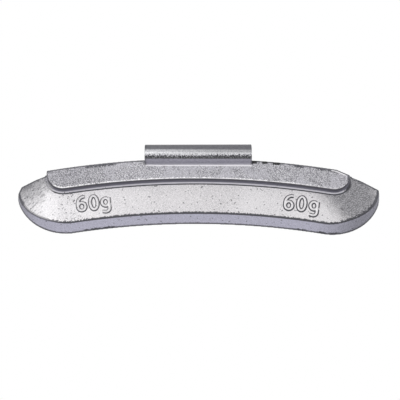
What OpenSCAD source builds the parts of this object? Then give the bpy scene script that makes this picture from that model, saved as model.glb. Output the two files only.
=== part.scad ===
// Balance weight for a steel wheel rim, 60 g: an arched zinc casting with a spring steel clip
// cast into it. X runs along the weight, -Y faces away from the wheel (the side that shows),
// +Z points from the wheel's axis to its rim. The origin is the centre of the clip's roll, where
// the lip of the rim lies. Each module is drawn from the middle of the casting's lower front
// edge, and from_roll() moves it to the origin.

/* [Casting] */
// Radius of the lower front edge, measured from the wheel's axis
edge_r = 200; // [150:1:300]
// Overall length from tip to tip
body_len = 104.4; // [96:0.2:130]
// Depth of the casting, from the plain face to the back
body_t = 4.7; // [4.5:0.1:7]
// Height of the casting, from the lower front edge to the top of the raised pad
body_h = 16.8; // [16:0.1:19]
// Draft of the lower wall: how far the back edge lies below the front one
wall_draft = 1.0; // [0.1:0.1:1.2]
// Radius of the back's upper edge, which lies in the curl of the rim flange
flange_r = 5.6; // [4:0.1:6]

/* [Raised pad] */
// Height of the plain face below the pad's ledge
face_h = 9.4; // [7:0.1:10]
// How far the pad stands proud of the plain face
pad_d = 2.0; // [1:0.1:2.6]
// How far the pad's wall leans out between its edge and its foot
pad_lean = 0.35; // [0.2:0.05:0.8]
// Half the pad's length along its upper edge
pad_half = 43; // [34:0.1:44]
// Radius of the pad's lower corners
pad_corner_r = 4.5; // [2:0.1:6]
// Length of upper edge worn away at the pad's right end
worn_len = 3.8; // [0.5:0.1:5]
// Angle of that wear below the horizontal
worn_a = 27; // [20:1:50]
// Width of the thin ledge that runs round the pad's foot
ledge_w = 0.4; // [0.2:0.05:0.8]
// Height of that ledge above the plain face
ledge_d = 0.3; // [0.1:0.05:0.5]

/* [Ends] */
// Radius of the round lower corner at the right end, measured at the back
bow_r = 14.6; // [10:0.1:17]
// Radius of the one at the left end
left_bow_r = 15.0; // [10:0.1:18]
// How much further the corner's wall leans in at the face, halfway round the corner
bow_lean = 1.2; // [0.5:0.1:3]
// The same at the left end
left_bow_lean = 0.5; // [0:0.1:3]
// Angle at which the face falls back towards each tip
sweep_a = 15; // [8:0.5:20]
// Length of face that falls back at each end
sweep_len = 10.2; // [8:0.1:16]
// Length of the bend between the face and the part that falls back
sweep_blend = 6.6; // [2:0.1:8]
// Length of the upper edge that is cut down at each end
crown_len = 7.6; // [4:0.1:10]
// Angle of that cut below the horizontal
crown_a = 23.5; // [15:0.5:30]
// Length of upper edge that is chipped off at the left tip
chip_len = 1.7; // [0.5:0.1:3]
// Angle of that chip from the upright
chip_a = 20; // [10:1:40]

/* [Spring clip] */
// Width of the steel strip
clip_w = 30.4; // [20:0.2:40]
// Thickness of the steel strip
clip_t = 0.9; // [0.6:0.1:1.2]
// Height at which the underside of the strip leaves the casting's front
clip_z = 14.7; // [14:0.1:15]
// Inner radius of the roll round the lip of the rim
roll_r = 2.35; // [2:0.05:2.8]
// Distance of the roll's centre behind the front of the pad
roll_set = 0.5; // [0.3:0.1:1]
// Angle at which the strip rises from the roll to its crown
rise_a = 12; // [6:1:16]
// Length of that straight rise
rise_len = 2.5; // [1:0.1:4]
// Inner radius of the bend over the rim flange
crown_r = 7.1; // [6.4:0.1:8.5]
// Straight length below that bend
drop_len = 1.6; // [0.8:0.1:3]
// Angle of the flared tip
flare_a = 35; // [15:1:45]
// Length of the flared tip beyond its bend
flare_len = 1.2; // [0.6:0.1:2]
// Length of the straight tongue inside the casting
tongue_len = 9.0; // [6:0.1:10]
// Inner radius of the bend between the tongue and the roll, and of the flare's bend
tongue_r = 2.0; // [1.5:0.1:2.4]
// Diameter of the holes that lock the tongue in the casting
anchor_d = 4.0; // [2:0.1:5]
// Distance between those holes
anchor_pitch = 16; // [8:0.5:22]

/* [Hidden] */
$fn = 96;
// How far a cutter reaches past what it cuts
over = 6;
half = body_len / 2;
top_r = edge_r + body_h;
front_y = -pad_d;
// How deep the pad's wall runs into the bar, below where the face falls away
pad_sink = 1.2;
// The bow's round corner starts this far outside the lower wall, so that it cuts in cleanly
bow_clear = 0.05;
// Angle round the corner where its extra lean has faded out, and how sharply that lean peaks
bow_fade = 112;
bow_peak = 1.5;
// Straight pieces that stand for the bow, for the pad's lower arc and for each of its corners
bow_steps = 20;
arc_steps = 40;
corner_steps = 8;
// Straight pieces in the bend where the face starts to fall back
sweep_steps = 6;
// The fall of the face starts here, and its bend has this radius
sweep_x = half - sweep_len;
blend_r = sweep_blend / (2 * tan(sweep_a / 2));
// Where the cut of the upper edge starts, and how high that edge is there
crown_x = half - crown_len;
crown_z = sqrt(top_r * top_r - crown_x * crown_x) - edge_r;
// Middle line of the strip, and the turn between two places of a bend
strip_mid = clip_t / 2;
bend_step = 5;
roll_y = front_y + roll_set;
root_z = clip_z + strip_mid;
// The tongue stands a little behind the middle of the casting's thickness
tongue_back = 0.3;
tongue_y = (front_y + body_t) / 2 + tongue_back;
neck_len = tongue_y - tongue_r - strip_mid - roll_y;

// Point at a radius and an angle from the upright, about the wheel's axis
function polar(r, a) = [r * sin(a), r * cos(a) - edge_r];
// Points of an arc about c from angle a0 to a1, measured from straight down towards +X
function arc(c, r, a0, a1, n) =
    [for (i = [0:n]) let (a = a0 + (a1 - a0) * i / n) c + r * [sin(a), -cos(a)]];

// Solid between a strip of the XZ plane at depth y0 and another at y1, further back. A strip is
// [lower line, upper line], both from left to right and all with the same number of points.
module loft(front, y0, back, y1) {
    n = len(front[0]);
    points = [
        for (line = front, p = line) [p.x, y0, p.y],
        for (line = back, p = line) [p.x, y1, p.y]
    ];
    // Two triangles behind the edge from point p to point q of the front strip
    function wall(p, q) = [[p, q, q + 2 * n], [p, q + 2 * n, p + 2 * n]];
    faces = [
        for (i = [0:n - 2]) [n + i, n + i + 1, i + 1, i],
        for (i = [0:n - 2]) [2 * n + i, 2 * n + i + 1, 3 * n + i + 1, 3 * n + i],
        for (i = [0:n - 2]) each wall(i, i + 1),
        for (i = [0:n - 2]) each wall(n + i + 1, n + i),
        each wall(n - 1, 2 * n - 1),
        each wall(n, 0)
    ];
    polyhedron(points = points, faces = faces);
}

// A section drawn as [radius, y], turned about the wheel's axis over the given half angle
module about_axle(half_angle) {
    translate([0, 0, -edge_r])
        rotate([-90, 0, 0])
            rotate([0, 0, -90 - half_angle])
                rotate_extrude(angle = 2 * half_angle, $fn = 720) children();
}

// Half angle that reaches past both tips
function reach() = asin((half + over) / edge_r);

// Arched bar with the plain front face, the drafted lower wall and the flat back
module bar() {
    difference() {
        about_axle(reach())
            polygon([
                [edge_r, 0],
                [top_r + over, 0],
                [top_r + over, body_t],
                [edge_r - wall_draft, body_t]
            ]);
        for (side = [0, 1]) mirror([side, 0, 0]) sweep_cutter(0);
    }
}

// Strip that holds the pad, grown by g: its lower line is the left end, the round corner, the
// arc, the other corner and the right end, and its upper line lies above the casting
function pad_strip(g) =
    let (
        r0 = edge_r + face_h + ledge_w + pad_lean - g,
        rc = pad_corner_r + g,
        a_end = asin(pad_half / top_r),
        a_c = a_end - asin(pad_corner_r / (r0 + rc)),
        corner = arc(polar(r0 + rc, a_c), rc, -a_c, 90 - a_end, corner_steps),
        end_top = corner[corner_steps] + (body_h - face_h + over) * [sin(a_end), cos(a_end)],
        r_top = norm(end_top + [0, edge_r]),
        a_top = atan2(end_top.x, end_top.y + edge_r),
        arc_turns = [for (i = [1:arc_steps - 1]) a_c * (2 * i / arc_steps - 1)],
        corner_turns = [for (i = [0:corner_steps]) a_c + (a_top - a_c) * i / corner_steps]
    )
    [
        [
            for (i = [corner_steps:-1:0]) [-corner[i].x, corner[i].y],
            for (a = arc_turns) polar(r0, a),
            each corner
        ],
        [
            for (i = [corner_steps:-1:0]) polar(r_top, -corner_turns[i]),
            for (a = arc_turns) polar(r_top, a),
            for (a = corner_turns) polar(r_top, a)
        ]
    ];

// The pad's walls run on into the bar, as deep as the face falls away below its ends
module pad() {
    slope = pad_lean / pad_d;
    difference() {
        loft(pad_strip(0), front_y, pad_strip(pad_lean + slope * pad_sink), pad_sink);
        edge_cutter(pad_half - worn_len, worn_a);
    }
}

module ledge() {
    foot = pad_lean + ledge_w;
    difference() {
        loft(pad_strip(foot - ledge_d / 2), -ledge_d, pad_strip(foot + ledge_d), pad_sink);
        for (side = [0, 1]) mirror([side, 0, 0]) sweep_cutter(-ledge_d);
    }
}

// Upper limit of the casting: flat land for the rim's lip, then round into the flange's curl
module top_profile() {
    land_y = body_t - flange_r;
    difference() {
        translate([edge_r - over, -over]) square([over + body_h, over + body_t]);
        difference() {
            translate([top_r - flange_r, land_y]) square(flange_r + over);
            translate([top_r - flange_r, land_y]) circle(r = flange_r);
        }
    }
}

// Distance of a bow's centre from the wheel's axis, for a round corner of radius r
function bow_reach(r) = edge_r - wall_draft - bow_clear + r;
// Angle round that corner where it leaves the lower wall
function bow_start(r) = -asin((half - r) / bow_reach(r));

// How far a bow's wall leans in at depth y, at angle a round the corner
function bow_inset(r, lean, a, y) =
    let (swing = sin(180 * (a - bow_start(r)) / (bow_fade - bow_start(r))))
    (1 - y / body_t) * (wall_draft + lean * pow(max(swing, 0), bow_peak));

// Strip outside a bow at the right end, at depth y: its upper line follows the bow from the
// lower wall round to the tip, and then goes straight up
function bow_strip(r, lean, y) =
    let (
        turns = [for (i = [0:bow_steps]) bow_start(r) + (90 - bow_start(r)) * i / bow_steps],
        centre = polar(bow_reach(r), -bow_start(r)),
        far_r = r + 3 * over,
        top = body_h + over
    )
    [
        [
            for (a = turns) centre + far_r * [sin(a), -cos(a)],
            [centre.x + far_r, top]
        ],
        [
            for (a = turns) centre + (r - bow_inset(r, lean, a, y)) * [sin(a), -cos(a)],
            [centre.x + r - bow_inset(r, lean, 90, y), top]
        ]
    ];

// What is cut off the bar outside a bow of radius r at the right end
module bow_cutter(r, lean) {
    loft(bow_strip(r, lean, -over), -over, bow_strip(r, lean, body_t + 1), body_t + 1);
}

// What a face at depth y loses where it falls back towards the right tip
module sweep_cutter(y) {
    r = blend_r - y;
    bend = [for (i = [0:sweep_steps]) let (a = sweep_a * i / sweep_steps)
        [sweep_x - sweep_blend / 2 + r * sin(a), r * (1 - cos(a))]];
    end = bend[sweep_steps] + 3 * over * [cos(sweep_a), sin(sweep_a)];
    translate([0, y, -5 * over])
        linear_extrude(height = 10 * over)
            polygon(concat(bend, [end, [end.x, -over], [bend[0].x, -over]]));
}

// What is cut off above a line that falls at angle a from the upper edge at x
module edge_cutter(x, a) {
    translate([x, -over, sqrt(top_r * top_r - x * x) - edge_r])
        rotate([0, a, 0])
            translate([-over, 0, 0]) cube([5 * over, body_t + 2 * over, 3 * over]);
}

// The corner that has broken away at the left tip
module chip_cutter() {
    chip_z = crown_z - (crown_len - chip_len) * tan(crown_a);
    translate([chip_len - half, -over, chip_z])
        rotate([0, chip_a, 0])
            translate([-2 * over, 0, -2 * over])
                cube([2 * over, body_t + 2 * over, 4 * over]);
}

// Places along the strip's middle line, each with its heading. A step is [length] for a
// straight, or [inner radius, angle] for a bend, where a positive angle bends to the left.
function stations(steps, i = 0, p = [0, 0], heading = 90) =
    i == len(steps) ? [[p, heading]] :
    len(steps[i]) == 1 ?
        concat(
            [[p, heading]],
            stations(steps, i + 1, p + steps[i][0] * [cos(heading), sin(heading)], heading)
        ) :
        let (
            angle = steps[i][1],
            r = sign(angle) * (steps[i][0] + strip_mid),
            c = p + r * [-sin(heading), cos(heading)],
            n = ceil(abs(angle) / bend_step)
        )
        concat(
            [for (k = [0:n - 1]) let (a = heading + angle * k / n) [c + r * [sin(a), -cos(a)], a]],
            stations(steps, i + 1, c + r * [sin(heading + angle), -cos(heading + angle)], heading + angle)
        );

// Outline of a strip of thickness clip_t that follows the steps
function strip_outline(steps) =
    let (line = stations(steps), side = [for (s = line) strip_mid * [-sin(s[1]), cos(s[1])]])
    concat(
        [for (i = [0:len(line) - 1]) line[i][0] - side[i]],
        [for (i = [len(line) - 1:-1:0]) line[i][0] + side[i]]
    );

// The strip from the foot of its tongue to its flared tip, with the holes of the tongue
module bent_strip() {
    tongue_z = root_z - tongue_r - strip_mid - tongue_len;
    difference() {
        translate([-clip_w / 2, tongue_y, tongue_z])
            rotate([90, 0, 90])
                linear_extrude(height = clip_w)
                    polygon(strip_outline([
                        [tongue_len],
                        [tongue_r, 90],
                        [neck_len],
                        [roll_r, rise_a - 180],
                        [rise_len],
                        [crown_r, -90 - rise_a],
                        [drop_len],
                        [tongue_r, flare_a],
                        [flare_len]
                    ]));
        for (side = [-1, 1])
            translate([side * anchor_pitch / 2, tongue_y + clip_t, tongue_z + tongue_len / 2])
                rotate([90, 0, 0]) cylinder(d = anchor_d, h = 2 * clip_t);
    }
}

// Moves a piece so that the centre of the clip's roll is the origin
module from_roll() {
    translate([0, -roll_y, -(clip_z + clip_t + roll_r)]) children();
}

module cast_body() {
    color("gainsboro")
        difference() {
            intersection() {
                union() {
                    bar();
                    pad();
                    ledge();
                }
                about_axle(reach()) top_profile();
            }
            bow_cutter(bow_r, bow_lean);
            mirror([1, 0, 0]) bow_cutter(left_bow_r, left_bow_lean);
            for (side = [0, 1]) mirror([side, 0, 0]) edge_cutter(crown_x, crown_a);
            chip_cutter();
            bent_strip();
        }
}

module spring_clip() {
    color("silver") bent_strip();
}

from_roll() cast_body();
from_roll() spring_clip();
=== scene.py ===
"""Looks of a cast wheel balance weight with a spring steel clip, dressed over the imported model.

Lengths are written in millimetres times MM. Points on the weight are given as in its drawing:
x runs along it, y into it from the plain face, z up from the middle of the lower front edge.
"""

import math

import bpy
from mathutils import Matrix, Vector, kdtree


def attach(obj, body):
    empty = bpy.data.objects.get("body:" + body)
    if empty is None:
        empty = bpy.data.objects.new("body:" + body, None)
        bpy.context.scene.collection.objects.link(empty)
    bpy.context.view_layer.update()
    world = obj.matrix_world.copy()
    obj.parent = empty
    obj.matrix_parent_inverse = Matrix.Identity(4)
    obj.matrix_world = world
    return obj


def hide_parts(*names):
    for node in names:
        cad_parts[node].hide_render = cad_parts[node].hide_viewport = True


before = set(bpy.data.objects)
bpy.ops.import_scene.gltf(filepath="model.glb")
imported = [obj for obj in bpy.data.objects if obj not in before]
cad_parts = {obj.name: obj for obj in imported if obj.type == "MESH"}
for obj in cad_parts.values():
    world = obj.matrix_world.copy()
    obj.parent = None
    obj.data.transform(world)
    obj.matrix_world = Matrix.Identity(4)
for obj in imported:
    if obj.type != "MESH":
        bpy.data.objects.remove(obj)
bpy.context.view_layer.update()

MM = 0.001

# The weight's main sizes
EDGE_R = 200 * MM
BODY_DEPTH = 4.7 * MM
BODY_H = 16.8 * MM
PAD_D = 2.0 * MM
ROLL_R = 2.35 * MM
CLIP_T = 0.9 * MM
CLIP_Z = 14.7 * MM
CLIP_W = 30.4 * MM
ROLL_SET = 0.5 * MM
# Middle of the lower front edge, and the wheel's axis below it
FOOT = Vector((0, PAD_D - ROLL_SET, -(CLIP_Z + CLIP_T + ROLL_R)))
AXLE = FOOT - Vector((0, 0, EDGE_R))

# The ends are cut down beyond one distance from the middle, and the pad is worn right of another
CROWN_X = 44.5 * MM
WORN_X = 38.5 * MM
# Limits that sort the casting's edges: heights above the lower edge's arc, the height of a cut
# end above the foot, and depths behind the plain face
LOW_EDGE_RISE = 4 * MM
PAD_FOOT_RISE = 6 * MM
PAD_LOW_RISE = 11.5 * MM
WORN_RISE = 14.2 * MM
CUT_END_Z = 4 * MM
FRONT_DEPTH = 3 * MM
PAD_DEPTH = -0.5 * MM
LEDGE_DEPTHS = (-0.4 * MM, -0.2 * MM)
EDGE_ROOM = 0.1 * MM

# The clip sits a little askew in the casting, and its sheared edges are broken
CLIP_ASKEW = math.radians(-0.45)
CLIP_SHIFT = -0.12 * MM
CLIP_EDGE = 0.14 * MM

# Lowest and highest corner, in millimetres, of the blocks round the clip's tongue and root
SLOT_FILLS = [
    ((-15.1, 2.5, -14.5), (15.1, 3.8, -4.5)),
    ((-15.1, -0.42, -6.0), (15.1, 3.6, -2.9)),
]

# How the casting is welded and remade, and how far its edges are worn round
WELD = 0.002 * MM
VOXEL = 0.17 * MM
WORN_PASSES = 2
MOST_TRIANGLES = 180000
# A vertex whose normal points up more than this is on a top and not on a wall
TOP_NORMAL = 0.6

# Attributes of the casting, each 1 at its edge or line and 0 from this distance: the lower edge,
# the foot of the pad's wall, the outline with the back, the ledge, the pad's lower edge, the
# outlines of the mass figures and the middles of their strokes
REACH = {
    "edge": 0.8 * MM,
    "foot": 0.5 * MM,
    "rim": 1.2 * MM,
    "ledge": 0.5 * MM,
    "pad_edge": 0.6 * MM,
    "figure": 0.45 * MM,
    "stroke": 0.5 * MM,
}

# Strokes of the mass figures, and how far their middles lie below the plain face
STROKE_R = 0.44 * MM
STROKE_SUNK = 0.12 * MM
# Middle of each figure: name, x and distance from the wheel's axis, in millimetres
FIGURES = [
    ("six", -32.8, 205.4),
    ("nought", -29.35, 205.25),
    ("gramme", -25.95, 204.1),
    ("six", 25.4, 205.05),
    ("nought", 28.95, 205.1),
    ("gramme", 32.2, 204.0),
]

# Black burrs on the casting's upper edge and dark dashes along it: from x to x, in millimetres
BURRS = [(15.4, 16.5), (18.2, 19.5), (21.2, 23.2)]
DASHES = [(-31.5, -24.0), (27.5, 29.5), (33.7, 35.5), (37.0, 38.5)]

# Colours of the zinc; a pair is the dark and the light of a grained surface
PALE = (0.92, 0.91, 0.93)
BLACK = (0.05, 0.05, 0.06)
BURR_BLACK = (0.02, 0.02, 0.02)
OUTLINE_BLACK = (0.09, 0.09, 0.105)
SCRATCH_DARK = (0.10, 0.10, 0.11)
CLOUD_GREY = (0.76, 0.74, 0.755)
SMOOTH_GREY = (0.52, 0.51, 0.56)
# Painted highlights on the ledge and on the wall at the right end
LEDGE_HIGHLIGHT_GREY = (0.68, 0.67, 0.73)
LIT_FOOT_GREY = (0.76, 0.75, 0.79)
FACE_PAIR = (0.46, 0.447, 0.46), (0.86, 0.838, 0.86)
END_PAIR = (0.15, 0.148, 0.16), (0.50, 0.495, 0.525)
PAD_PAIR = (0.25, 0.245, 0.268), (0.85, 0.84, 0.885)
DIM_PAD_PAIR = (0.12, 0.118, 0.13), (0.56, 0.55, 0.59)
# Painted shade on the pad's wall; on the lower wall, a painted reflection of the ground and painted
# shade at its ends
PAD_WALL_SHADE_PAIR = (0.12, 0.118, 0.14), (0.22, 0.215, 0.27)
LOW_WALL_REFLECTION_PAIR = (0.50, 0.49, 0.60), (0.71, 0.70, 0.84)
SHADED_WALL_PAIR = (0.19, 0.188, 0.225), (0.38, 0.375, 0.44)

# Colours of the steel: painted reflections above and below the roll's front, its own grey on its
# front, and a painted highlight or a painted black reflection there
ABOVE_REFLECTION_PAIR = (0.13, 0.13, 0.145), (0.18, 0.18, 0.195)
FRONT_PAIR = (0.21, 0.21, 0.225), (0.28, 0.28, 0.295)
BELOW_REFLECTION_PAIR = (0.30, 0.29, 0.35), (0.39, 0.38, 0.45)
UNDERSIDE_REFLECTION_GREY = (0.60, 0.59, 0.66)
HIGHLIGHT_PAIR = (0.43, 0.43, 0.45), (0.69, 0.69, 0.71)
DIM_HIGHLIGHT_PAIR = (0.27, 0.27, 0.285), (0.40, 0.40, 0.415)
DARK_REFLECTION_PAIR = (0.04, 0.04, 0.045), (0.20, 0.20, 0.21)

# Floor, world and lamps, in metres and watts
FLOOR_SIZE = 6
FLOOR_Z = -0.35
FLOOR_GREY = (0.9, 0.9, 0.9)
WHITE = (1, 1, 1)
WORLD_LEVEL = 0.35
# Name, place, size and power
LAMPS = [
    ("key", (-0.35, -0.85, 0.28), 0.35, 3.1),
    ("fill", (0.6, -0.7, 0.0), 0.5, 1.3),
    ("back", (0.2, 0.8, 0.5), 0.5, 2.5),
]

# Camera: a pixel of the picture measures PIXEL at the foot, which falls on FOOT_PIXEL
CAMERA_DISTANCE = 300 * MM
CAMERA_RISE = math.radians(-30)
CAMERA_ROLL = math.radians(0.21)
CAMERA_SENSOR = 36
CAMERA_NEAR = 10 * MM
PICTURE = 400
PIXEL = 0.2790 * MM
FOOT_PIXEL = (198.4, 212.9)


# Meshes


def depth(point):
    """How far a point lies behind the plain face."""
    return point.y - FOOT.y


def rise(point):
    """How far a point lies above the lower edge's arc."""
    return (point - AXLE).length - EDGE_R


def add_object(name, data):
    thing = bpy.data.objects.new(name, data)
    bpy.context.scene.collection.objects.link(thing)
    return thing


def deselect_all():
    if bpy.context.object and bpy.context.object.mode != "OBJECT":
        bpy.ops.object.mode_set(mode="OBJECT")
    bpy.ops.object.select_all(action="DESELECT")


def work_on(piece):
    deselect_all()
    piece.select_set(True)
    bpy.context.view_layer.objects.active = piece


def add_modifier(piece, kind, **settings):
    """Adds a modifier and applies it."""
    work_on(piece)
    modifier = piece.modifiers.new(kind.title(), kind)
    for name, value in settings.items():
        setattr(modifier, name, value)
    bpy.ops.object.modifier_apply(modifier=modifier.name)


def copy_of_node(node, name):
    """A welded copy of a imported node, to be worked on."""
    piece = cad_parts[node].copy()
    piece.data = piece.data.copy()
    piece.name = name
    piece.data.name = name
    piece.data.materials.clear()
    piece.hide_render = False
    bpy.context.scene.collection.objects.link(piece)
    work_on(piece)
    bpy.ops.object.mode_set(mode="EDIT")
    bpy.ops.mesh.select_all(action="SELECT")
    bpy.ops.mesh.remove_doubles(threshold=WELD)
    bpy.ops.object.mode_set(mode="OBJECT")
    return piece


def sharp_edge_points(piece, least_angle=math.radians(25), step=0.1 * MM):
    """Points every step along the edges that are sharper than the least angle."""
    mesh = piece.data
    faces_at = {}
    for face in mesh.polygons:
        for key in face.edge_keys:
            faces_at.setdefault(key, []).append(face.normal)
    points = []
    for (a, b), normals in faces_at.items():
        if len(normals) == 2 and normals[0].angle(normals[1], 0.0) > least_angle:
            start, end = mesh.vertices[a].co, mesh.vertices[b].co
            count = max(1, round((end - start).length / step))
            points += [start.lerp(end, i / count) for i in range(count + 1)]
    return points


def kd_tree(points):
    """A tree that finds the nearest of the points."""
    tree = kdtree.KDTree(len(points))
    for i, point in enumerate(points):
        tree.insert(point, i)
    tree.balance()
    return tree


def nearness(piece, points, reach, weights=None):
    """For each vertex, 1 at the points and falling to 0 at the reach, times a point's weight."""
    tree = kd_tree(points)
    values = []
    for vertex in piece.data.vertices:
        _, index, distance = tree.find(vertex.co)
        value = max(0.0, 1 - distance / reach)
        values.append(value * weights[index] if weights else value)
    return values


def set_attribute(piece, name, values):
    """Gives each vertex its value under a name that the materials read."""
    attribute = piece.data.attributes.new(name, "FLOAT", "POINT")
    attribute.data.foreach_set("value", values)


# The mass figure, drawn as plain rounded strokes in a cell 3.0 by 5.4, about its middle


def ring(half_width, half_height, lift):
    """Points of an oval whose middle lies the lift above the middle of the cell."""
    turns = [math.radians(30 * i) for i in range(12)]
    return [(half_width * math.cos(a), half_height * math.sin(a) + lift) for a in turns]


# Each stroke is its points and whether it closes on itself
STROKES = {
    "six": [
        (ring(1.03, 1.25, -0.95), True),
        ([(-1.03, -0.95), (-1.0, 0.4), (-0.55, 1.5), (0.25, 2.1), (1.05, 2.2)], False),
    ],
    "nought": [(ring(1.03, 2.2, 0), True)],
    "gramme": [
        (ring(0.98, 1.25, 0.95), True),
        ([(0.98, 2.2), (0.98, -0.9), (0.75, -1.8), (0.05, -2.2), (-0.95, -2.0)], False),
    ],
}


def smooth_line(points, closed, steps=8):
    """A smooth line through the points."""
    count = len(points)
    pairs = count if closed else count - 1
    line = []
    for i in range(pairs):
        if closed:
            a, b, c, d = (points[(i + k) % count] for k in (-1, 0, 1, 2))
        else:
            a, b, c, d = (points[min(max(i + k, 0), count - 1)] for k in (-1, 0, 1, 2))
        for k in range(steps):
            t = k / steps
            line.append(tuple(
                0.5 * (2 * q + (r - p) * t + (2 * p - 5 * q + 4 * r - s) * t * t
                       + (3 * q - p - 3 * r + s) * t * t * t)
                for p, q, r, s in zip(a, b, c, d)
            ))
    return line if closed else line + [points[-1]]


def place_on_face(line, x, radius):
    """A figure's line on the plain face, upright to the arc, about a place in millimetres."""
    lean = Matrix.Rotation(math.asin(x * MM / EDGE_R), 3, "Y")
    middle = FOOT + Vector((x, 0, math.sqrt(radius * radius - x * x) - EDGE_R / MM)) * MM
    return [middle + lean @ (Vector((u, 0, v)) * MM) for u, v in line]


def bead_along(line, closed):
    """A rounded bead along a line on the face."""
    curve = bpy.data.curves.new("bead", "CURVE")
    curve.dimensions = "3D"
    curve.bevel_depth = STROKE_R
    curve.bevel_resolution = 4
    curve.use_fill_caps = True
    spline = curve.splines.new("POLY")
    spline.points.add(len(line) - 1)
    for point, place in zip(spline.points, line):
        point.co = (*(place + Vector((0, STROKE_SUNK, 0))), 1)
    spline.use_cyclic_u = closed
    work_on(add_object("bead", curve))
    bpy.ops.object.convert(target="MESH")
    return bpy.context.object


def figure_outlines(lines):
    """Points where the beads meet the face, apart from those inside another bead.

    Their weights are higher on the lower right of each stroke, which lies in its own shade.
    """
    across = math.sqrt(STROKE_R**2 - STROKE_SUNK**2)
    shade = Vector((0.6, 0, -0.8))
    shade_gain = 0.07
    # A point nearer than this to a stroke's middle lies inside its bead
    clear = 0.93 * across
    middles = kd_tree([p for line in lines for p in line])
    outline = []
    weights = []
    for line in lines:
        for start, end in zip(line, line[1:] + line[:1]):
            along = end - start
            if along.length > STROKE_R or along.length == 0:
                continue
            side = Vector((-along.z, 0, along.x)).normalized() * across
            for way in (side, -side):
                if middles.find(start + way)[2] > clear:
                    outline.append(start + way)
                    weights.append(1 - shade_gain + shade_gain * way.normalized().dot(shade))
    return outline, weights


def slot_filler(low, high):
    """A block that closes the casting's slot, so that it meets the clip in a crisp line."""
    deselect_all()
    low, high = Vector(low) * MM, Vector(high) * MM
    bpy.ops.mesh.primitive_cube_add(size=1, location=(low + high) / 2)
    block = bpy.context.object
    block.dimensions = high - low
    bpy.ops.object.transform_apply(location=True, rotation=True, scale=True)
    return block


def is_upper_edge(point):
    """Whether a point lies on the casting's upper outline, as seen from the front."""
    top = rise(point) > BODY_H - 3 * EDGE_ROOM
    cut_end = abs(point.x) > CROWN_X and point.z > FOOT.z + CUT_END_Z
    on_pad = depth(point) < PAD_DEPTH
    worn = on_pad and point.x > WORN_X and rise(point) > WORN_RISE
    return depth(point) < FRONT_DEPTH and (top or cut_end or worn)


def edge_groups(piece):
    """Points along the casting's sharp edges, by the attribute that they give."""
    points = sharp_edge_points(piece)
    front = [p for p in points if -EDGE_ROOM < depth(p) < FRONT_DEPTH]
    pad_edge = [p for p in points if depth(p) < 6 * EDGE_ROOM - PAD_D]
    return {
        "edge": [p for p in front if rise(p) < LOW_EDGE_RISE or abs(p.x) > CROWN_X],
        "foot": [p for p in front if rise(p) > PAD_FOOT_RISE and abs(p.x) < CROWN_X],
        "rim": [p for p in points if depth(p) > BODY_DEPTH - EDGE_ROOM or is_upper_edge(p)],
        "ledge": [p for p in points if LEDGE_DEPTHS[0] < depth(p) < LEDGE_DEPTHS[1]],
        "pad_edge": [p for p in pad_edge if rise(p) < PAD_LOW_RISE],
    }


def make_casting():
    """The zinc casting, with its figures, remade finely so that its edges are worn round."""
    casting = copy_of_node("cast_body", "weight_casting")
    points_of = edge_groups(casting)
    strokes = [
        (place_on_face(smooth_line(points, closed), x, radius), closed)
        for figure, x, radius in FIGURES
        for points, closed in STROKES[figure]
    ]
    beads = [bead_along(line, closed) for line, closed in strokes]
    lines = [line for line, closed in strokes]
    points_of["figure"], shades = figure_outlines(lines)
    points_of["stroke"] = [point for line in lines for point in line]
    fillers = [slot_filler(low, high) for low, high in SLOT_FILLS]
    work_on(casting)
    for piece in [*beads, *fillers]:
        piece.select_set(True)
    bpy.ops.object.join()
    add_modifier(casting, "REMESH", mode="VOXEL", voxel_size=VOXEL)
    add_modifier(casting, "SMOOTH", factor=0.5, iterations=WORN_PASSES)
    triangles = 2 * len(casting.data.polygons)
    add_modifier(casting, "DECIMATE", ratio=min(1, MOST_TRIANGLES / triangles))
    for name, reach in REACH.items():
        weights = shades if name == "figure" else None
        set_attribute(casting, name, nearness(casting, points_of[name], reach, weights))
    # How far a vertex turns from the front or the back, which tells the walls from the face
    set_attribute(casting, "side", [
        1 - abs(v.normal.y) if v.normal.z < TOP_NORMAL else 0.0
        for v in casting.data.vertices
    ])
    work_on(casting)
    bpy.ops.object.shade_smooth()
    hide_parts("cast_body")
    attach(casting, "root")
    return casting


def make_clip():
    """The spring strip, with its sheared edges broken."""
    clip = copy_of_node("spring_clip", "weight_clip")
    bpy.ops.object.mode_set(mode="EDIT")
    bpy.ops.mesh.select_all(action="SELECT")
    bpy.ops.mesh.dissolve_limited(angle_limit=math.radians(1))
    bpy.ops.object.mode_set(mode="OBJECT")
    clip.data.transform(Matrix.Rotation(CLIP_ASKEW, 4, "Y"))
    clip.data.transform(Matrix.Translation((CLIP_SHIFT, 0, 0)))
    add_modifier(clip, "BEVEL", width=CLIP_EDGE, segments=3, limit_method="ANGLE",
                 angle_limit=math.radians(40))
    work_on(clip)
    bpy.ops.object.shade_smooth_by_angle(angle=math.radians(30))
    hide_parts("spring_clip")
    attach(clip, "root")
    return clip


# Finishes


class Value:
    """An output socket, on which shader maths is written as an expression."""

    def __init__(self, nodes, socket):
        self.nodes = nodes
        self.socket = socket

    def __add__(self, other):
        return self.nodes.math("ADD", self, other)

    def __radd__(self, other):
        return self.nodes.math("ADD", other, self)

    def __sub__(self, other):
        return self.nodes.math("SUBTRACT", self, other)

    def __rsub__(self, other):
        return self.nodes.math("SUBTRACT", other, self)

    def __mul__(self, other):
        return self.nodes.math("MULTIPLY", self, other)

    def __rmul__(self, other):
        return self.nodes.math("MULTIPLY", other, self)

    def between(self, low, high):
        """0 below low, 1 above high and smooth between; low may lie above high."""
        return self.nodes.add(
            "ShaderNodeMapRange", {"interpolation_type": "SMOOTHSTEP"}, self, low, high, 0.0, 1.0
        )

    def within(self, low, high, soft):
        """1 from low to high, falling to 0 over a soft length at either end."""
        return self.between(low - soft, low) * self.between(high + soft, high)


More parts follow.
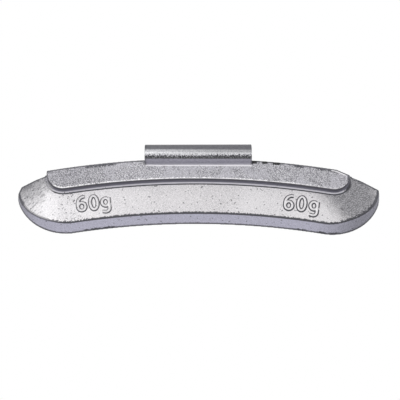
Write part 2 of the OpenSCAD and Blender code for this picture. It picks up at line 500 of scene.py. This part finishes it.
class Nodes:
    """A node tree whose nodes are added by one method."""

    def __init__(self, tree):
        self.tree = tree

    def add(self, kind, settings, *sockets, out=None, **named):
        """Adds a node, sets it, fills its sockets in order or by name, and gives an output."""
        node = self.tree.nodes.new(kind)
        for name, value in settings.items():
            setattr(node, name, value)
        in_order = [socket for socket in node.inputs if socket.enabled]
        by_name = [(node.inputs[name], value) for name, value in named.items()]
        for socket, value in [*zip(in_order, sockets), *by_name]:
            self.fill(socket, value)
        outputs = [socket for socket in node.outputs if socket.enabled]
        return Value(self, node.outputs[out] if out else outputs[0])

    def fill(self, socket, value):
        """Links an output to the socket, or sets it; a colour is given without its alpha."""
        if isinstance(value, Value):
            self.tree.links.new(value.socket, socket)
        elif socket.type == "RGBA":
            socket.default_value = (*value, 1)
        else:
            socket.default_value = value

    def math(self, operation, *values):
        """A Math node's result."""
        return self.add("ShaderNodeMath", {"operation": operation}, *values)

    def seen_rays(self):
        """1 for what the camera sees straight, mirrored or through glass, and 0 for light."""
        camera, glossy, through = (
            self.add("ShaderNodeLightPath", {}, out=ray)
            for ray in ("Is Camera Ray", "Is Glossy Ray", "Is Transmission Ray")
        )
        return self.math("MAXIMUM", self.math("MAXIMUM", camera, glossy), through)


class Finish(Nodes):
    """A material, on whose colour other colours are painted one over another."""

    def __init__(self, name):
        self.material = bpy.data.materials.new(name)
        self.material.use_nodes = True
        super().__init__(self.material.node_tree)
        self.shader = self.tree.nodes["Principled BSDF"]

    def wear(self, **sockets):
        """Fills the shader's own sockets."""
        for name, value in sockets.items():
            self.fill(self.shader.inputs[name.replace("_", " ")], value)

    def paint(self, mask, colour):
        """Lays a colour over the piece's own where the mask is 1; a factor on it covers less."""
        self.colour = self.blend(mask, self.colour, colour)

    def blend(self, mask, a, b):
        """Colour a where the mask is 0 and b where it is 1."""
        return self.add("ShaderNodeMix", {"data_type": "RGBA"}, mask, a, b)

    def place(self):
        """Position on the piece, and its x, y and z."""
        point = self.add("ShaderNodeTexCoord", {}, out="Object")
        return point, *(self.add("ShaderNodeSeparateXYZ", {}, point, out=axis) for axis in "XYZ")

    def attribute(self, name):
        """A value that the mesh carries."""
        return self.add("ShaderNodeAttribute", {"attribute_name": name}, out="Fac")

    def noise(self, point, size, detail=2.0, rough=0.5):
        """Noise about 0 to 1 with features of about this size."""
        return self.add("ShaderNodeTexNoise", {}, Vector=point, Scale=1 / size, Detail=detail,
                        Roughness=rough, out="Fac")

    def cells(self, point, size):
        """Grains of one size: about 0 in the middle of each and 1 between them."""
        return self.add("ShaderNodeTexVoronoi", {}, Vector=point, Scale=1 / size, out="Distance")

    def bump(self, height, distance, strength):
        """A normal that follows a height."""
        return self.add("ShaderNodeBump", {}, Strength=strength, Distance=distance, Height=height,
                        out="Normal")


class Zinc(Finish):
    """Dull cast zinc: pale on the face, darker on the pad and along its edges, and darker at its
    ends by painted shade; painted light and shade also lie on its walls, ledge and figures.
    """

    def __init__(self):
        super().__init__("cast_zinc")
        self.point, self.x, self.y, z = self.place()
        self.up = z - FOOT.z
        self.depth = self.y - FOOT.y
        self.near = {name: self.attribute(name) for name in REACH}
        # Noises, from fine grit to wide clouds
        self.grit = self.noise(self.point, 0.24 * MM, 1.0, 0.7)
        self.grain = self.cells(self.point, 0.27 * MM) * 0.5 + self.grit * 0.6
        self.speck = self.noise(self.point, 0.55 * MM, 1.0, 0.6)
        self.blotch = self.noise(self.point, 1.8 * MM, 3.0, 0.6)
        self.cloud = self.noise(self.point, 9 * MM, 2.0, 0.5)
        # Parts of the surface: the front, the pad, the walls, what is flat and what is high up
        self.fore = self.depth.between(3.5 * MM, 1.5 * MM)
        self.on_pad = self.depth.between(-0.9 * MM, -1.3 * MM)
        self.walled = self.attribute("side").between(0.25, 0.45)
        self.flat = 1 - self.walled
        self.pad_wall = self.walled * self.depth.between(-0.05 * MM, -0.3 * MM)
        self.low_wall = self.walled * self.depth.between(-0.3 * MM, -0.05 * MM)
        self.high = self.up.between(6 * MM, 9 * MM)
        # Scratches run up to the right on the ends
        across = self.add(
            "ShaderNodeCombineXYZ", {}, (self.x + self.up) * 0.25, self.y, self.up - self.x
        )
        self.scratch = self.noise(across, 0.6 * MM, 1.0, 0.5).between(0.58, 0.66)
        self.end = self.end_colour()

        self.colour = self.face_colour()
        self.paint_ends()
        self.paint(self.on_pad, self.pad_colour())
        self.paint_low_wall()
        self.paint_pad_foot()
        self.paint_pad_edge()
        self.paint_clip_root()
        self.paint_lower_edge()
        self.paint_outline()
        self.paint_marks()
        self.wear(
            Base_Color=self.colour,
            Metallic=0.35,
            Roughness=0.5,
            Normal=self.bump(self.grit + self.blotch, 0.04 * MM, 0.5),
        )

    def broken(self, mask, amount):
        """A mask whose border specks break up, by as much as the amount."""
        return mask + (self.speck - 0.5) * amount

    def face_colour(self):
        """Grained and cloudy, with painted light making it paler in three stretches along the
        weight.
        """
        x = self.x
        face = self.blend(self.grain.between(0.75, 0.25), *FACE_PAIR)
        face = self.blend(self.cloud.between(0.3, 0.7) * 0.3, face, CLOUD_GREY)
        # Painted light: paler stretches towards the left end, right of the middle and left of the
        # middle
        face = self.blend(x.between(-36 * MM, -44 * MM) * 0.25, face, PALE)
        face = self.blend(x.within(14 * MM, 34 * MM, 8 * MM) * 0.22, face, PALE)
        return self.blend(x.between(-8 * MM, -28 * MM) * 0.18, face, PALE)

    def end_colour(self):
        """Darker grain with scratches."""
        end = self.blend(self.grain.between(0.65, 0.3), *END_PAIR)
        return self.blend(self.scratch * 0.6, end, SCRATCH_DARK)

    def pad_colour(self):
        """Grained, with dull blotches and smooth patches, and dimmer towards the left."""
        pad = self.blend(self.grain.between(0.65, 0.3), *PAD_PAIR)
        dim = self.blend(self.grain.between(0.62, 0.35), *DIM_PAD_PAIR)
        pad = self.blend(self.blotch.between(0.52, 0.68) * 0.4, pad, self.end)
        smooth = (self.cloud - self.blotch * 0.3).between(0.34, 0.42)
        pad = self.blend(smooth * 0.4, pad, SMOOTH_GREY)
        return self.blend(self.x.between(-16 * MM, -36 * MM) * 0.6, pad, dim)

    def paint_ends(self):
        """Painted shade makes the ends darker: the right one all over, the left one towards its
        upper corner.
        """
        x, up, blotch = self.x, self.up, self.blotch
        right = (x + up * 0.8 + blotch * (5 * MM)).between(38 * MM, 46 * MM)
        left = (up * 0.8 - x * 0.6 + blotch * (6 * MM)).between(31 * MM, 38 * MM)
        far_left = x.between(-39 * MM, -46 * MM)
        # Painted shade darkens the ends; the scratches at the far left are the casting's own
        self.paint(right * self.fore * 0.9, self.end)
        self.paint(left * self.fore * 0.75, self.end)
        self.paint(self.scratch * far_left * self.fore * 0.5, BLACK)

    def paint_low_wall(self):
        """The wall below the lower edge, its lavender grey a painted reflection of the ground, with
        painted shade at the far left and towards the right end.
        """
        gritty = self.grit.between(0.3, 0.7)
        # The lower wall's lavender grey is a painted reflection of the ground it faces, and its
        # darker ends are painted shade
        wall = self.blend(gritty, *LOW_WALL_REFLECTION_PAIR)
        shaded_wall = self.blend(gritty, *SHADED_WALL_PAIR)
        far_left = self.x.between(-44 * MM, -51 * MM)
        far_right = self.x.between(30 * MM, 47 * MM)
        self.paint(self.low_wall, self.blend(far_left * 0.8 + far_right, wall, shaded_wall))

    def paint_pad_foot(self):
        """Painted shade on the pad's wall, a painted highlight on its ledge and a dark line of
        painted shade at its foot, which run out at its ends, and painted light on the wall high up
        at the right end.
        """
        run_out = self.x.between(-40.3 * MM, -42.5 * MM) + self.x.between(43.0 * MM, 43.5 * MM)
        paler = run_out * self.depth.between(-1.4 * MM, -0.8 * MM)
        shade = self.blend(self.depth.between(-1.5 * MM, -0.7 * MM), *PAD_WALL_SHADE_PAIR)
        # Painted shade on the pad's wall, which faces down
        self.paint(self.pad_wall * (1 - paler), shade)
        # Painted highlight on the ledge
        self.paint(self.near["ledge"].between(0.4, 0.8) * (1 - run_out) * 0.9, LEDGE_HIGHLIGHT_GREY)
        # Painted shade in the crease at the wall's foot
        self.paint(self.near["foot"].between(0.42, 0.68) * (1 - run_out), BLACK)
        # Painted light on the wall high up at the right end
        worn = self.walled * self.high * self.x.within(43.7 * MM, 46 * MM, 0.4 * MM)
        self.paint(worn * 0.9, LIT_FOOT_GREY)

    def paint_pad_edge(self):
        """A broken painted highlight along the pad's lower side, fainter on the right."""
        bright = self.broken(self.near["pad_edge"], 1.9).between(0.38, 0.65)
        fading = self.x.between(40 * MM, 20 * MM) * 0.5 + 0.45
        # Painted highlight along the pad's lower edge
        self.paint(bright * self.on_pad * self.flat * fading, PALE)

    def paint_clip_root(self):
        """A painted highlight runs as a bright line under the root of the clip, and a dark gap lies
        beside it.
        """
        aside = self.math("ABSOLUTE", self.x)
        line = self.up.between(CLIP_Z - 0.6 * MM, CLIP_Z - 0.4 * MM)
        under = line * aside.between(CLIP_W / 2, CLIP_W / 2 - 0.2 * MM)
        # Painted highlight under the clip's root
        self.paint(under * self.on_pad * 0.8, PALE)
        gap = aside.within(CLIP_W / 2, CLIP_W / 2 + 0.15 * MM, 0.1 * MM)
        beside = self.up.between(CLIP_Z - 0.2 * MM, CLIP_Z) * gap
        self.paint(beside * self.on_pad * 0.8, BLACK)

    def paint_lower_edge(self):
        """A ragged dark line, but for the left bow, where it is a soft shadow on the wall."""
        x, edge = self.x, self.near["edge"]
        ragged = x.between(-44 * MM, -38 * MM)
        rougher = x.between(34 * MM, 40 * MM) + x.between(-29 * MM, -34 * MM) * 2 + 1.4
        line = self.broken(edge, ragged * rougher * 0.8 * self.flat).between(0.32, 0.62)
        soft = edge.between(-0.2, 0.8) * self.low_wall * (1 - ragged)
        self.paint(soft * 0.6, BLACK)
        self.paint(line * (ragged * 0.5 + 0.45), BLACK)

    def paint_outline(self):
        """The dark outline, with burrs and dashes on the upper edge."""
        rim = self.near["rim"]
        outline = self.broken(rim + self.walled * 0.2, 0.4).between(0.42, 0.7)
        self.paint(outline * 0.9, OUTLINE_BLACK)
        for start, end in BURRS:
            burr = self.high * self.broken(rim, 1).between(0.1, 0.35)
            self.paint(burr * self.x.within(start * MM, end * MM, 0.2 * MM), BURR_BLACK)
        for start, end in DASHES:
            dash = self.broken(rim, 1.2).within(0.2, 0.55, 0.1) * rim.between(0.02, 0.15)
            self.paint(dash * self.x.within(start * MM, end * MM, MM) * 0.9, BLACK)

    def paint_marks(self):
        """A painted highlight on the pad's worn corner, the left tip darker towards its upper
        corner, painted highlights and painted shade on the figures, and the pits.
        """
        rim, figure = self.near["rim"], self.near["figure"]
        # Painted highlight along the pad's worn corner
        corner_highlight = self.x.within(38 * MM, 41.3 * MM, 0.7 * MM) * rim.within(0.4, 0.55, 0.12)
        self.paint(corner_highlight * self.on_pad * 0.8, PALE)
        # Darker towards the left tip's upper corner
        tip = (self.up - self.x + self.blotch * (3 * MM)).between(56.8 * MM, 60.5 * MM)
        self.paint(tip * self.fore * 0.7, BLACK)
        # Painted highlights along the middles of the figures' raised strokes
        self.paint(self.near["stroke"].between(0.0, 0.5) * 0.3, PALE)
        # Painted shade round the feet of the figures' strokes, deeper on the lower right of each
        fainter_left = self.x.between(0.0, -9 * MM) * 0.09
        self.paint((figure - fainter_left).between(0.33, 0.61), BLACK)
        pits = self.noise(self.point, 0.6 * MM, 0.0, 0.5).between(0.76, 0.80)
        self.paint(pits * (1 - self.pad_wall) * 0.7, BLACK)


class Steel(Finish):
    """Spring steel strip with painted reflections: a bright painted highlight on the front of the
    roll, and dark painted reflections above and below that.
    """

    def __init__(self):
        super().__init__("spring_steel")
        point, x, y, z = self.place()
        along = self.add("ShaderNodeVectorMath", {"operation": "MULTIPLY"}, point, (0.4, 1, 1))
        streak = self.noise(along, 0.3 * MM, 2.0, 0.6)
        grain = self.noise(point, 0.28 * MM, 1.0, 0.6)
        streaked = streak.between(0.3, 0.7)
        grained = grain.between(0.3, 0.7)
        # Angle round the roll in degrees, 0 at the front and growing upwards
        turn = self.math("DEGREES", self.math("ARCTAN2", z, y * -1))
        # The painted highlight band frays out below, where it ends a little higher on the right
        frayed = turn + (grain - 0.5) * 40 - x.between(0.0, 6 * MM) * 4
        front = y.between(1 * MM, 0.2 * MM)

        # Painted dark reflection above the roll's front, over the steel's own grey elsewhere
        self.colour = self.blend(
            front * turn.between(-10, 0),
            self.blend(streaked, *FRONT_PAIR),
            self.blend(streaked, *ABOVE_REFLECTION_PAIR),
        )
        # Painted reflection of the pale ground below the roll's front, paler on its underside
        below = self.blend(streaked, *BELOW_REFLECTION_PAIR)
        below = self.blend(turn.between(-66, -74) * 0.6, below, UNDERSIDE_REFLECTION_GREY)
        self.paint(front * turn.between(0, -10), below)
        # Painted highlight across the roll's front, dimmer at its top
        painted_highlight = self.blend(
            turn.between(-18, -10),
            self.blend(grained, *HIGHLIGHT_PAIR),
            self.blend(grained, *DIM_HIGHLIGHT_PAIR),
        )
        self.paint(front * turn.between(3, 0.5) * frayed.between(-34, -27), painted_highlight)
        # Painted black reflection below the highlight
        dark_reflection = self.blend(grain.between(0.35, 0.7), *DARK_REFLECTION_PAIR)
        self.paint(front * frayed.between(-27, -35) * turn.between(-51, -44), dark_reflection)
        # The sheared ends of the roll are darker
        aside = self.math("ABSOLUTE", x)
        sheared = aside.between(CLIP_W / 2 - 0.5 * MM, CLIP_W / 2 - 0.3 * MM)
        self.paint(sheared * turn.between(-8, 2) * 0.6, dark_reflection)
        self.paint(sheared * turn.between(-44, -52) * 0.5, dark_reflection)
        self.wear(
            Base_Color=self.colour,
            Metallic=0.7,
            Roughness=0.5,
            Normal=self.bump(streak, 0.01 * MM, 0.4),
        )


# Stage


def make_floor():
    """A floor well below the weight, plain white where it is seen and matt as light falls on it."""
    deselect_all()
    bpy.ops.mesh.primitive_plane_add(size=FLOOR_SIZE, location=(0, 0, FLOOR_Z))
    floor = bpy.context.object
    floor.name = "floor"
    white = Finish("floor_white")
    white.wear(Base_Color=FLOOR_GREY, Roughness=0.9)
    matt = Value(white, white.shader.outputs["BSDF"])
    glow = white.add("ShaderNodeEmission", {}, WHITE, 1.0)
    surface = white.add("ShaderNodeMixShader", {}, white.seen_rays(), matt, glow)
    white.fill(white.tree.nodes["Material Output"].inputs["Surface"], surface)
    floor.data.materials.append(white.material)


def make_world():
    """White where it is seen, and dimmer as light."""
    world = bpy.data.worlds.new("studio")
    bpy.context.scene.world = world
    world.use_nodes = True
    sky = Nodes(world.node_tree)
    back = sky.tree.nodes["Background"]
    sky.fill(back.inputs["Color"], WHITE)
    sky.fill(back.inputs["Strength"], sky.seen_rays() * (1 - WORLD_LEVEL) + WORLD_LEVEL)


def make_lamps():
    """Soft round lamps that face the weight."""
    for name, place, size, power in LAMPS:
        lamp = bpy.data.lights.new(name, "AREA")
        lamp.shape = "DISK"
        lamp.size = size
        lamp.energy = power
        holder = add_object(name, lamp)
        holder.location = place
        holder.rotation_euler = (-Vector(place)).to_track_quat("-Z", "Y").to_euler()


def make_camera():
    """A camera below the weight that looks up at it, as in the photo."""
    camera = bpy.data.cameras.new("camera")
    camera.sensor_width = CAMERA_SENSOR
    camera.lens = CAMERA_SENSOR * CAMERA_DISTANCE / (PICTURE * PIXEL)
    camera.shift_x = (PICTURE / 2 - FOOT_PIXEL[0]) / PICTURE
    camera.shift_y = (FOOT_PIXEL[1] - PICTURE / 2) / PICTURE
    camera.clip_start = CAMERA_NEAR
    holder = add_object("camera", camera)
    away = Vector((0, -math.cos(CAMERA_RISE), math.sin(CAMERA_RISE)))
    tilt = Matrix.Rotation(math.pi / 2 - CAMERA_RISE, 4, "X")
    roll = Matrix.Rotation(CAMERA_ROLL, 4, "Z")
    holder.matrix_world = Matrix.Translation(FOOT + away * CAMERA_DISTANCE) @ tilt @ roll
    bpy.context.scene.camera = holder


def main():
    casting = make_casting()
    casting.data.materials.append(Zinc().material)
    clip = make_clip()
    clip.data.materials.append(Steel().material)
    make_floor()
    make_world()
    make_lamps()
    make_camera()
    bpy.context.scene.view_settings.view_transform = "Standard"


main()
